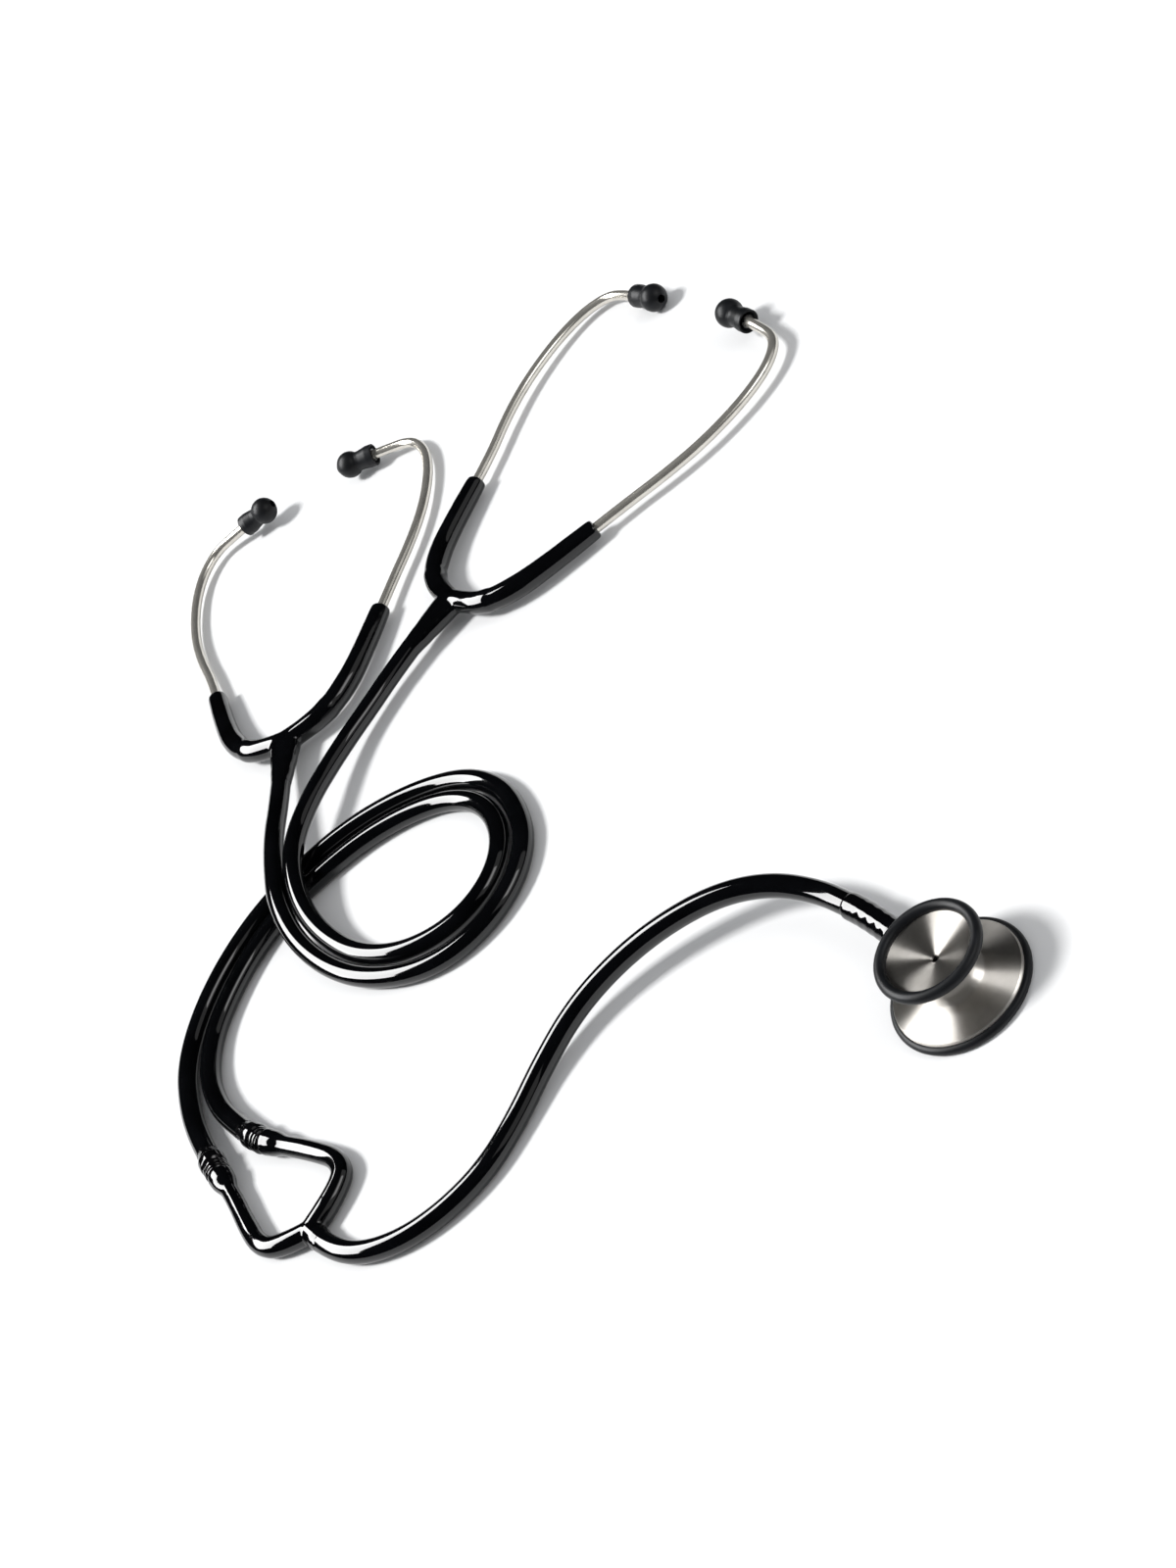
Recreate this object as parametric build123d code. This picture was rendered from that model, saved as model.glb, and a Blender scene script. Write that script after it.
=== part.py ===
from build123d import *
import math
import os

# A training stethoscope: one double-sided chestpiece and one hose, which a Y fitting
# splits into two hoses, each ending in its own binaural headset.
# Millimetres, +Z up. The origin is the centre of the diaphragm's rim on the surface that
# the chestpiece stands on, and the chestpiece's stem points along +Y.

# Hoses
HOSE_D = 8.5
HOSE_BORE_D = 4.8
BARB_D = 5.2
SLEEVE_R = 4.9
LEAD_SHARE = 0.45          # how much of its shorter run each bend of a hose takes

# Chestpiece
STEM_Z = 11.6
WAIST_R = 9.6
DIAPHRAGM_RIM_R = 23.7
DIAPHRAGM_RIM_SECTION_R = 1.6
DIAPHRAGM_R = 22.4
DIAPHRAGM_FACE_R = 20.4
DIAPHRAGM_T = 0.35
DIAPHRAGM_EDGE_Z = 1.0
BELL_RIM_R = 17.15
BELL_RIM_SECTION_R = 2.04
BELL_RIM_Z = 22.4
SOUND_HOLE_R = 1.4

# Stem and its bearing in the chestpiece
STEM_R = 3.0
STEM_BORE_R = 3.06
STEM_END_Y = -3.0
STEM_BORE_END_Y = -3.4
COUNTERBORE_R = 5.0
COUNTERBORE_Y = 6.0
CLIP_Y = 6.2
CLIP_T = 0.7
COLLAR_Y = 7.1
COLLAR_END_Y = 11.2
STEM_SHOULDER_Y = 25.0
HOSE_START_Y = 26.0
BALL_R = 1.0
BALL_Y = 3.6
BALL_BORE_R = 1.05
BALL_GROOVE_R = 2.65

# Headset, in its own plane: x to the side, y from the yoke to the ear tips, z up
HINGE = (8.0, 2.0)
KNUCKLE_R = 5.0
KNUCKLE_HEIGHT = 9.6
SOCKET_R = 5.3
ARM_R = 4.5
EAR_TUBE_D = 4.6
EAR_TUBE_BORE_D = 3.6
EAR_TUBE_GRIP = 20.0
EAR_TUBE_STRAIGHT = 32.0    # from its inner end to its first bend
TURN_CLEARANCE = 0.05
END_CLEARANCE = 0.3
TAIL_LENGTH = 26.0
SPRING_HOLE_R = 1.5
SPRING_T = 0.7
SPRING_WIDTH = 4.4
SPRING_POINTS = [(8.8, -0.9), (20.4, 2.9), (30.3, 11.0), (35.5, 19.5)]
ARM_POINTS = [(8.0, 2.0), (19.2, 5.2), (28.2, 12.8), (37.4, 28.0), (47.4, 56.2)]
EAR_TUBE_POINTS = [
    (61.2, 88.0, 0.9),
    (67.8, 107.5, 1.4),
    (70.6, 127.0, 1.9),
    (70.2, 142.0, 2.3),
    (67.2, 153.5, 2.7),
    (60.6, 162.2, 3.2),
    (50.0, 164.7, 4.0),
]
EAR_TUBE_END = (34.0, 165.3, 5.6)

# Ear tip, along its own axis from the open skirt to the ear
TIP_LENGTH = 19.6
TIP_BALL_R = 6.2
TIP_SKIRT_R = 4.9
TIP_WAIST_R = 3.9
TIP_HOLE_R = 2.0
TIP_SKIRT_DEPTH = 7.0      # how far the ear tube's end lies inside the skirt
INSERT_R = 2.9
INSERT_LENGTH = 7.0

# Where each headset lies: yoke centre, direction of its own y, rise per mm along y and x,
# and how far each side is spread and twisted as it lies
HEADSETS = {
    "a": {
        "centre": (6.2, 365.9, 8.0),
        "heading": 6.0,
        "rise_y": -0.031,
        "rise_x": 0.0065,
        "left": {"spread": 0.2, "twist": -2.3},
        "right": {"spread": 1.7, "twist": 1.2},
    },
    "b": {
        "centre": (-83.7, 387.2, 8.4),
        "heading": 55.3,
        "rise_y": -0.045,
        "rise_x": 0.004,
        "left": {"spread": -1.2, "twist": 3.4},
        "right": {"spread": -0.8, "twist": 1.5},
    },
}

# Y fitting and its two connectors
CONNECTORS = {
    "left": {"hose_end": (-219.2, 234.0, 6.3), "fork_end": (-220.4, 222.6, 6.2)},
    "right": {"hose_end": (-202.6, 225.9, 6.3), "fork_end": (-200.2, 214.6, 6.2)},
}
FORKS = {
    "left": [(-221.4, 206.0, 5.6), (-224.2, 189.0, 5.0), (-225.4, 174.8, 4.7), (-219.6, 165.2, 4.7)],
    "right": [(-195.4, 203.6, 5.6), (-188.0, 188.0, 5.0), (-182.4, 172.4, 4.7), (-187.6, 162.8, 4.7)],
}
JUNCTION = (-207.6, 158.6, 4.7)
FORK_R = 3.9
FORK_END_R = 4.6
FORK_END_LENGTH = 8.0
JUNCTION_R = 4.6
FITTING_BORE_R = 2.4
CONNECTOR_BEAD_R = 5.6
CONNECTOR_CORE_R = 4.4
CONNECTOR_BORE_R = 1.6
CONNECTOR_BARB_LENGTH = 7.0

# Routes of the hoses' centre lines, from each fitting to the next
MAIN_ROUTE = [
    (0.0, 26.0, 11.6),
    (0.0, 38.0, 11.6),
    (-0.9, 51.5, 11.7),
    (-4.2, 66.0, 13.4),
    (-12.0, 82.0, 17.0),
    (-25.0, 98.0, 18.2),
    (-44.0, 111.2, 16.4),
    (-65.0, 120.6, 13.2),
    (-87.0, 124.9, 9.5),
    (-108.5, 122.0, 6.0),
    (-128.0, 115.0, 4.4),
    (-147.5, 109.7, 4.3),
    (-167.0, 111.2, 4.3),
    (-184.5, 117.6, 4.3),
    (-198.0, 128.5, 4.3),
    (-205.2, 141.3, 4.3),
    (-206.7, 150.0, 4.4),
]
HOSE_B_ROUTE = [
    (-106.5, 352.5, 11.0),
    (-115.0, 338.0, 13.6),
    (-124.0, 321.5, 14.6),
    (-133.8, 299.0, 14.2),
    (-139.8, 276.0, 9.6),
    (-136.5, 249.0, 6.0),
    (-125.5, 226.5, 4.4),
    (-108.5, 208.5, 4.3),
    (-87.0, 202.2, 4.3),
    (-66.0, 206.5, 4.3),
    (-51.0, 219.5, 4.3),
    (-43.6, 237.5, 4.3),
    (-41.5, 257.0, 4.3),
    (-47.2, 276.5, 4.3),
    (-62.0, 294.0, 4.3),
    (-81.0, 307.5, 4.3),
    (-101.5, 316.2, 4.3),
    (-124.0, 320.0, 4.3),
    (-147.5, 319.2, 4.3),
    (-170.5, 312.2, 4.3),
    (-190.0, 299.2, 4.3),
    (-204.8, 283.2, 4.4),
    (-213.2, 264.0, 4.9),
    (-218.0, 247.0, 5.7),
]
HOSE_A_ROUTE = [
    (-33.5, 361.6, 8.2),
    (-48.5, 359.5, 8.0),
    (-64.0, 354.6, 8.8),
    (-79.5, 346.0, 11.0),
    (-94.0, 334.2, 13.8),
    (-109.5, 321.0, 14.6),
    (-120.0, 306.5, 14.2),
    (-127.8, 289.0, 11.4),
    (-130.2, 270.5, 8.0),
    (-126.8, 250.5, 5.6),
    (-116.8, 232.8, 4.4),
    (-102.0, 220.5, 4.3),
    (-85.5, 215.8, 4.3),
    (-69.5, 219.2, 4.3),
    (-57.4, 230.0, 4.3),
    (-51.6, 245.0, 4.3),
    (-51.8, 261.0, 4.3),
    (-59.2, 276.5, 4.3),
    (-73.0, 289.5, 4.3),
    (-90.0, 299.3, 4.3),
    (-108.5, 305.2, 4.3),
    (-130.0, 308.6, 4.3),
    (-152.0, 306.2, 4.3),
    (-172.5, 297.6, 4.3),
    (-189.2, 285.4, 4.3),
    (-200.4, 268.5, 4.6),
    (-204.6, 251.5, 5.2),
    (-204.2, 237.5, 5.9),
]

Y_DIR = Vector(0, 1, 0)


def write(name, shape):
    export_step(shape, f"parts/{name}.step")


def revolved(plane, outline):
    """Turn an outline of (radius, height) points about the plane's own z axis."""
    profile = make_face(Polyline(*[(r, 0, h) for r, h in outline], close=True))
    return plane.location * revolve(profile, Axis.Z)


def rod(start, direction, radius, length):
    """A round rod from a point, along a direction."""
    plane = Plane(origin=start, z_dir=direction)
    return plane.location * Cylinder(radius, length, align=(Align.CENTER, Align.CENTER, Align.MIN))


def rounded_path(name, points):
    """Straight runs joined by tangent arcs, each as large as its two runs allow."""
    points = [Vector(p) for p in points]
    radii = []
    for before, here, after in zip(points, points[1:], points[2:]):
        turn = math.radians((here - before).get_angle(after - here))
        shorter = min((here - before).length, (after - here).length)
        radii.append(LEAD_SHARE * shorter / math.tan(turn / 2))
    print(name, "radii", [round(r) for r in radii])
    return FilletPolyline(*points, radius=radii)


def swept(path, radius, bore=0.0):
    """A round tube along a path."""
    section = Circle(radius)
    if bore:
        section -= Circle(bore)
    plane = Plane(origin=path @ 0, z_dir=path % 0)
    return sweep(plane.location * section, path=path)


# ---------------------------------------------------------------- headset geometry

def turned(point, about, degrees):
    """Turn (x, y) about a point in the headset's plane."""
    a = math.radians(degrees)
    dx = point[0] - about[0]
    dy = point[1] - about[1]
    x = about[0] + dx * math.cos(a) - dy * math.sin(a)
    y = about[1] + dx * math.sin(a) + dy * math.cos(a)
    return (x, y) + tuple(point[2:])


def headset_plane(name):
    """The headset's own frame: x to its right, y to its tips, z up."""
    lie = HEADSETS[name]
    a = math.radians(lie["heading"])
    y_dir = Vector(math.cos(a), math.sin(a), lie["rise_y"]).normalized()
    x_rough = Vector(math.sin(a), -math.cos(a), lie["rise_x"])
    z_dir = x_rough.cross(y_dir).normalized()
    return Plane(origin=lie["centre"], x_dir=y_dir.cross(z_dir), z_dir=z_dir)


class Side:
    """One side of a headset: places points of the right-hand shape on that side."""

    def __init__(self, name, side):
        self.plane = headset_plane(name)
        self.sign = 1 if side == "right" else -1
        self.spread = HEADSETS[name][side]["spread"]
        self.twist = HEADSETS[name][side]["twist"]
        self.arm_points = [turned(p, HINGE, -self.spread) for p in ARM_POINTS]
        near, far = self.arm_points[-2:]
        run = Vector(far[0] - near[0], far[1] - near[1])
        self.arm_dir = run.normalized()
        self.grip = Vector(*far) - self.arm_dir * EAR_TUBE_GRIP

    def world(self, point):
        x, y, z = (*point, 0.0)[:3]
        return self.plane.from_local_coords(Vector(self.sign * x, y, z))

    def twisted(self, point):
        """A point of the ear tube, spread with the arm and twisted about the arm's end."""
        x, y, z = turned(point, HINGE, -self.spread)
        p = Vector(x, y, z) - self.grip
        a = math.radians(self.twist)
        along = self.arm_dir * p.dot(self.arm_dir)
        across = p - along
        return self.grip + along + across * math.cos(a) + self.arm_dir.cross(across) * math.sin(a)

    def hinge(self):
        return self.world(HINGE)

    def tube_points(self):
        first_bend = self.grip + self.arm_dir * EAR_TUBE_STRAIGHT
        bends = [self.twisted(p) for p in EAR_TUBE_POINTS]
        return [self.world(p) for p in [self.grip, first_bend, *bends, self.twisted(EAR_TUBE_END)]]


def yoke(name):
    """The moulded fork: a tapering tail with a cross bar that carries both hinge sockets."""
    plane = headset_plane(name)
    tail = revolve(
        make_face(
            Polyline(
                (0, -TAIL_LENGTH),
                (HOSE_D / 2 + 0.25, -TAIL_LENGTH),
                (5.6, -13),
                (6.6, -3),
                (6.2, 2),
                (4.4, 5.4),
                (0, 6.6),
                close=True,
            )
        ),
        Axis.Y,
    )
    bar = Location((0, 1.6, 0)) * Rotation(0, 90, 0) * Cylinder(ARM_R + 0.2, 14)
    shape = tail + bar
    for sign in (-1, 1):
        socket = Location((sign * HINGE[0], HINGE[1], 0)) * Cylinder(SOCKET_R, 20)
        shape -= socket
        shape -= Location((sign * 12.0, 0, 0)) * Box(10, 40, 20)
    bar_y = 1.6
    backwards = Vector(0, -1, 0)
    shape -= rod((0, -4.0, 0), backwards, HOSE_BORE_D / 2, TAIL_LENGTH)
    shape -= rod((0, bar_y, 0), backwards, SPRING_HOLE_R, 6.0)
    shape -= Location((0, bar_y, 0)) * Rotation(0, 90, 0) * Cylinder(SPRING_HOLE_R, 30)
    shape -= Location((0, SPRING_POINTS[0][1], 0)) * Box(40, SPRING_T + 0.1, SPRING_WIDTH + 0.1)
    return plane.location * shape


def leaf_spring_path(name):
    """The strip's centre line: straight through the yoke, then along the outside of each arm."""
    left = [(-x, y) for x, y in reversed(SPRING_POINTS)]
    return headset_plane(name), left + SPRING_POINTS


def strip(plane, points, thickness, width):
    """A flat strip standing on edge along points in the headset's plane."""
    line = Polyline(*[(x, y, 0) for x, y in points])
    section_plane = Plane(origin=line @ 0, x_dir=(0, 0, 1), z_dir=line % 0)
    band = sweep(section_plane.location * Rectangle(width, thickness), path=line, transition=Transition.RIGHT)
    return plane.location * band


def leaf_spring(name):
    """The strip of spring steel moulded into the yoke and both arms, pierced for the sound."""
    plane, points = leaf_spring_path(name)
    band = strip(plane, points, SPRING_T, SPRING_WIDTH)
    hole = plane.location * rod((0, -3, 0), Y_DIR, SPRING_HOLE_R, 4)
    return band - hole


def spring_slot(name):
    """The room that the spring needs inside an arm, a little longer than the spring."""
    plane, points = leaf_spring_path(name)
    (x0, y0), (x1, y1) = points[-2:]
    longer = (x1 + (x1 - x0) * 0.05, y1 + (y1 - y0) * 0.05)
    points = [(-longer[0], longer[1]), *points[1:-1], longer]
    return strip(plane, points, SPRING_T + 0.3, SPRING_WIDTH + 0.3)


def arm(name, side):
    """A moulded arm from its knuckle at the yoke to the sleeve that grips the ear tube."""
    place = Side(name, side)
    points = [place.world(p) for p in place.arm_points]
    path = rounded_path(f"arm_{name}_{side}", points)
    knuckle_plane = Plane(origin=place.hinge(), z_dir=place.plane.z_dir)
    shape = knuckle_plane.location * Cylinder(KNUCKLE_R, KNUCKLE_HEIGHT)
    shape += swept(path, ARM_R)
    direction = (points[-1] - points[-2]).normalized()
    grip = place.world(place.grip)
    socket = grip - direction * END_CLEARANCE
    shape -= rod(socket, direction, EAR_TUBE_D / 2 + TURN_CLEARANCE, EAR_TUBE_GRIP + 2)
    shape -= spring_slot(name)
    return shape


def ear_tube(name, side):
    place = Side(name, side)
    path = rounded_path(f"ear_tube_{name}_{side}", place.tube_points())
    return swept(path, EAR_TUBE_D / 2, EAR_TUBE_BORE_D / 2)


def tip_plane(name, side):
    """A frame at the open skirt of an ear tip, with z along the tip towards the ear."""
    points = Side(name, side).tube_points()
    direction = (points[-1] - points[-2]).normalized()
    return Plane(origin=points[-1] - direction * TIP_SKIRT_DEPTH, z_dir=direction)


def tip_insert(name, side):
    """The threaded ferrule that holds an ear tip on its tube."""
    start = TIP_SKIRT_DEPTH - INSERT_LENGTH + 0.5
    end = TIP_SKIRT_DEPTH + 1.2
    tube_r = EAR_TUBE_D / 2
    outline = [
        (tube_r, start),
        (INSERT_R, start),
        (INSERT_R, end),
        (TIP_HOLE_R, end),
        (TIP_HOLE_R, TIP_SKIRT_DEPTH),
        (tube_r, TIP_SKIRT_DEPTH),
    ]
    return revolved(tip_plane(name, side), outline)


def ear_tip(name, side):
    """A soft mushroom tip: flared skirt, waist and ball, with the sound hole through it."""
    centre = TIP_LENGTH - TIP_BALL_R
    ball = [
        (TIP_BALL_R * math.cos(math.radians(a)), centre + TIP_BALL_R * math.sin(math.radians(a)))
        for a in range(-48, 72, 12)
    ]
    start = TIP_SKIRT_DEPTH - INSERT_LENGTH + 0.5
    end = TIP_SKIRT_DEPTH + 1.2
    outline = [
        (EAR_TUBE_D / 2 + 0.05, 0.0),
        (TIP_SKIRT_R, 0.0),
        (TIP_SKIRT_R, 1.6),
        (TIP_WAIST_R + 0.3, 5.4),
        (TIP_WAIST_R, 7.2),
        *ball,
        (TIP_HOLE_R, TIP_LENGTH - 0.4),
        (TIP_HOLE_R, end),
        (INSERT_R, end),
        (INSERT_R, start),
        (EAR_TUBE_D / 2 + 0.05, start),
    ]
    return revolved(tip_plane(name, side), outline)


# ---------------------------------------------------------------- chestpiece

STEM_PLANE = Plane(origin=(0, 0, STEM_Z), x_dir=(1, 0, 0), z_dir=(0, 1, 0))
BALL_PLANE = Plane(origin=(0, BALL_Y, STEM_Z), x_dir=(0, 1, 0), z_dir=(1, 0, 0))


def chest_body():
    """The turned metal head: diaphragm housing, waist and bell in one piece."""
    outline = [
        (SOUND_HOLE_R, 17.9),
        (14.9, 21.4),
        (16.9, 21.9),
        (17.6, 21.9),
        (17.6, 21.1),
        (15.8, 20.0),
        (13.2, 18.0),
        (11.0, 15.8),
        (9.9, 14.6),
        (WAIST_R, 13.8),
        (WAIST_R, 9.3),
        (10.2, 8.6),
        (11.3, 8.3),
        (11.3, 7.6),
        (11.9, 7.0),
        (14.6, 6.0),
        (18.2, 5.0),
        (21.4, 4.4),
        (22.9, 4.1),
        (23.3, 3.6),
        (23.3, DIAPHRAGM_EDGE_Z + DIAPHRAGM_T),
        (DIAPHRAGM_R, DIAPHRAGM_EDGE_Z + DIAPHRAGM_T),
        (DIAPHRAGM_R - 0.6, DIAPHRAGM_EDGE_Z + DIAPHRAGM_T - 0.3),
        (21.4, 1.6),
        (20.8, 2.0),
        (SOUND_HOLE_R, 4.2),
    ]
    shape = revolved(Plane.XY, outline)
    shape -= rod((0, STEM_BORE_END_Y, STEM_Z), Y_DIR, STEM_BORE_R, 30)
    shape -= rod((0, COUNTERBORE_Y, STEM_Z), Y_DIR, COUNTERBORE_R, 10)
    shape -= rod((0, BALL_Y, STEM_Z), Vector(1, 0, 0), BALL_BORE_R, 20)
    return shape


def bell_rim(body):
    """The non-chill ring stretched over the bell's lip."""
    ring = Location((0, 0, BELL_RIM_Z)) * Torus(BELL_RIM_R, BELL_RIM_SECTION_R)
    return ring - body


def diaphragm():
    """A thin disc whose edge steps up to where the rim clamps it, so that its face is proud."""
    face = [(0, 0), (DIAPHRAGM_FACE_R, 0), (DIAPHRAGM_R, DIAPHRAGM_EDGE_Z)]
    return revolved(Plane.XY, face + [(r, z + DIAPHRAGM_T) for r, z in reversed(face)])


def diaphragm_rim(body, disc):
    """The ring that clips the diaphragm to its housing and stands on the surface."""
    ring = Location((0, 0, DIAPHRAGM_RIM_SECTION_R)) * Torus(DIAPHRAGM_RIM_R, DIAPHRAGM_RIM_SECTION_R)
    lip_share = 0.6
    lip_r = DIAPHRAGM_FACE_R + lip_share * (DIAPHRAGM_R - DIAPHRAGM_FACE_R)
    lip = revolved(
        Plane.XY,
        [
            (lip_r, 0.3),
            (DIAPHRAGM_RIM_R, 0.1),
            (DIAPHRAGM_RIM_R, DIAPHRAGM_EDGE_Z),
            (DIAPHRAGM_R, DIAPHRAGM_EDGE_Z),
            (lip_r, lip_share * DIAPHRAGM_EDGE_Z),
        ],
    )
    return ring + lip - body - disc


def stem():
    """The rotating stem: journal, grooves for its seal, clip and ball, and a barbed tail."""
    bore = 1.5
    outline = [
        (bore, STEM_END_Y),
        (STEM_R, STEM_END_Y),
        (STEM_R, 0.8),
        (2.4, 0.8),
        (2.4, 1.6),
        (STEM_R, 1.6),
        (STEM_R, BALL_Y - 0.9),
        (BALL_GROOVE_R, BALL_Y - 0.9),
        (BALL_GROOVE_R, BALL_Y + 0.9),
        (STEM_R, BALL_Y + 0.9),
        (STEM_R, CLIP_Y - 0.05),
        (2.5, CLIP_Y - 0.05),
        (2.5, CLIP_Y + CLIP_T + 0.05),
        (STEM_R, CLIP_Y + CLIP_T + 0.05),
        (STEM_R, 12.0),
        (3.6, 12.6),
        (3.6, STEM_SHOULDER_Y - 1),
        (4.6, STEM_SHOULDER_Y - 1),
        (4.6, HOSE_START_Y),
        (HOSE_BORE_D / 2, HOSE_START_Y),
    ]
    for start in (28.0, 33.0, 38.0):
        outline += [(HOSE_BORE_D / 2, start), (BARB_D / 2, start), (2.2, start + 3.0)]
    outline += [(2.0, 46.0), (bore, 46.0)]
    shape = revolved(STEM_PLANE, outline)
    port = rod((0, 0, STEM_Z - 5), Vector(0, 0, 1), SOUND_HOLE_R, 5)
    return shape - port


def stem_clip():
    ring = rod((0, CLIP_Y, STEM_Z), Y_DIR, COUNTERBORE_R - 0.2, CLIP_T)
    ring -= rod((0, CLIP_Y - 1, STEM_Z), Y_DIR, 2.55, 3)
    gap = Location((0, CLIP_Y, STEM_Z + 3.6)) * Box(2.4, 3, 4)
    return ring - gap


def stem_oring():
    return Plane(origin=(0, 1.2, STEM_Z), z_dir=Y_DIR).location * Torus(2.72, 0.3)


def stem_collar():
    """The ring nut that closes the bearing, with a slimmer nose outside."""
    inner = STEM_R + 0.06
    outline = [
        (inner, COLLAR_Y),
        (COUNTERBORE_R, COLLAR_Y),
        (COUNTERBORE_R, COLLAR_END_Y - 1.6),
        (COUNTERBORE_R - 0.5, COLLAR_END_Y - 1.4),
        (COUNTERBORE_R - 0.5, COLLAR_END_Y),
        (inner, COLLAR_END_Y),
    ]
    return revolved(STEM_PLANE, outline)


def detent_ball():
    return Location((BALL_GROOVE_R + 0.1 + BALL_R, BALL_Y, STEM_Z)) * Sphere(BALL_R)


def detent_spring():
    """A small coil spring between the ball and its screw."""
    height = 3.0
    coil = Helix(pitch=0.75, height=height, radius=0.75)
    wire = sweep(Plane(origin=coil @ 0, z_dir=coil % 0).location * Circle(0.16), path=coil, is_frenet=True)
    return BALL_PLANE.location * Location((0, 0, 4.95)) * wire


def detent_screw():
    shape = rod((8.2, BALL_Y, STEM_Z), Vector(1, 0, 0), BALL_BORE_R, 0.9)
    socket = Plane(origin=(8.6, BALL_Y, STEM_Z), z_dir=(1, 0, 0))
    return shape - socket.location * extrude(RegularPolygon(0.45, 6), 2)


def hose_sleeve():
    """The moulded sleeve that grips the hose's first stretch over the stem's barbs."""
    return swept(rounded_path("hose_sleeve", MAIN_ROUTE[:3]), SLEEVE_R, HOSE_D / 2)


# ---------------------------------------------------------------- Y fitting

def connector(side):
    """A barbed joiner with a round bead and two fine rings between hose and fork."""
    start = Vector(CONNECTORS[side]["hose_end"])
    end = Vector(CONNECTORS[side]["fork_end"])
    gap = (end - start).length
    plane = Plane(origin=start, z_dir=(end - start).normalized())
    core = CONNECTOR_CORE_R
    neck = HOSE_BORE_D / 2
    barb = BARB_D / 2
    outline = [
        (CONNECTOR_BORE_R, -CONNECTOR_BARB_LENGTH),
        (neck - 0.2, -CONNECTOR_BARB_LENGTH),
        (barb, -CONNECTOR_BARB_LENGTH + 2.0),
        (neck, -CONNECTOR_BARB_LENGTH + 2.2),
        (neck, 0.0),
        (core, 0.0),
        (core + 0.5, 0.6),
        (CONNECTOR_BEAD_R, 1.8),
        (CONNECTOR_BEAD_R, 3.4),
        (core + 0.3, 4.8),
        (core, 5.2),
        (core + 0.5, 5.7),
        (core + 0.5, 6.5),
        (core, 7.0),
        (core + 0.5, 7.5),
        (core + 0.5, 8.3),
        (core, 8.8),
        (core + 0.3, gap - 1.2),
        (core + 0.3, gap),
        (neck, gap),
        (neck, gap + CONNECTOR_BARB_LENGTH - 2.2),
        (barb, gap + CONNECTOR_BARB_LENGTH - 2.0),
        (neck - 0.2, gap + CONNECTOR_BARB_LENGTH),
        (CONNECTOR_BORE_R, gap + CONNECTOR_BARB_LENGTH),
    ]
    return revolved(plane, outline)


def y_fitting():
    """The moulded fork that joins both connectors to the single hose."""
    junction = Vector(JUNCTION)
    hose_end = Vector(MAIN_ROUTE[-1])
    out = (hose_end - junction).normalized()
    shape = rod(junction, out, JUNCTION_R, (hose_end - junction).length)
    shape += Location(junction) * Sphere(JUNCTION_R)
    bores = rod(junction, out, HOSE_BORE_D / 2, 30)
    for side, bends in FORKS.items():
        start = Vector(CONNECTORS[side]["fork_end"])
        path = rounded_path(f"fork_{side}", [start, *bends, junction])
        shape += swept(path, FORK_R)
        direction = (Vector(bends[0]) - start).normalized()
        shape += rod(start, direction, FORK_END_R, FORK_END_LENGTH)
        bores += swept(path, FITTING_BORE_R)
    return shape - bores


# ---------------------------------------------------------------- hoses

def hose(name, route):
    path = rounded_path(name, route)
    shape = swept(path, HOSE_D / 2, HOSE_BORE_D / 2)
    area = math.pi * (HOSE_D**2 - HOSE_BORE_D**2) / 4
    print(name, "length", round(path.length, 1), "volume over section", round(shape.volume / area, 1))
    return shape


def headset_hose_route(headset, route, side):
    """From the yoke's tail, along the route, to the connector."""
    plane = headset_plane(headset)
    tail_end = plane.from_local_coords(Vector(0, -TAIL_LENGTH, 0))
    return [tail_end, *[Vector(p) for p in route], Vector(CONNECTORS[side]["hose_end"])]


os.makedirs("parts", exist_ok=True)

body = chest_body()
disc = diaphragm()
write("chest_body", body)
write("bell_rim", bell_rim(body))
write("diaphragm", disc)
write("diaphragm_rim", diaphragm_rim(body, disc))
write("stem", stem())
write("stem_clip", stem_clip())
write("stem_oring", stem_oring())
write("stem_collar", stem_collar())
write("detent_ball", detent_ball())
write("detent_spring", detent_spring())
write("detent_screw", detent_screw())
write("hose_sleeve", hose_sleeve())
write("main_hose", hose("main_hose", MAIN_ROUTE))
write("hose_a", hose("hose_a", headset_hose_route("a", HOSE_A_ROUTE, "right")))
write("hose_b", hose("hose_b", headset_hose_route("b", HOSE_B_ROUTE, "left")))
write("y_fitting", y_fitting())
for side in CONNECTORS:
    write(f"connector_{side}", connector(side))
for name in HEADSETS:
    write(f"yoke_{name}", yoke(name))
    write(f"leaf_spring_{name}", leaf_spring(name))
    for side in ("left", "right"):
        write(f"arm_{name}_{side}", arm(name, side))
        write(f"ear_tube_{name}_{side}", ear_tube(name, side))
        write(f"tip_insert_{name}_{side}", tip_insert(name, side))
        write(f"ear_tip_{name}_{side}", ear_tip(name, side))
        place = Side(name, side)
        direction = place.world(Vector(*place.arm_points[-1])) - place.world(place.grip)
        print(name, side, "hinge", place.hinge(), "grip", place.world(place.grip), "axis", direction.normalized())
    print(name, "up", headset_plane(name).z_dir, "tail end", headset_hose_route(name, [], "left")[0])
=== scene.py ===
import math

import bmesh
import bpy
from mathutils import Matrix, Vector
from mathutils.kdtree import KDTree


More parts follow.
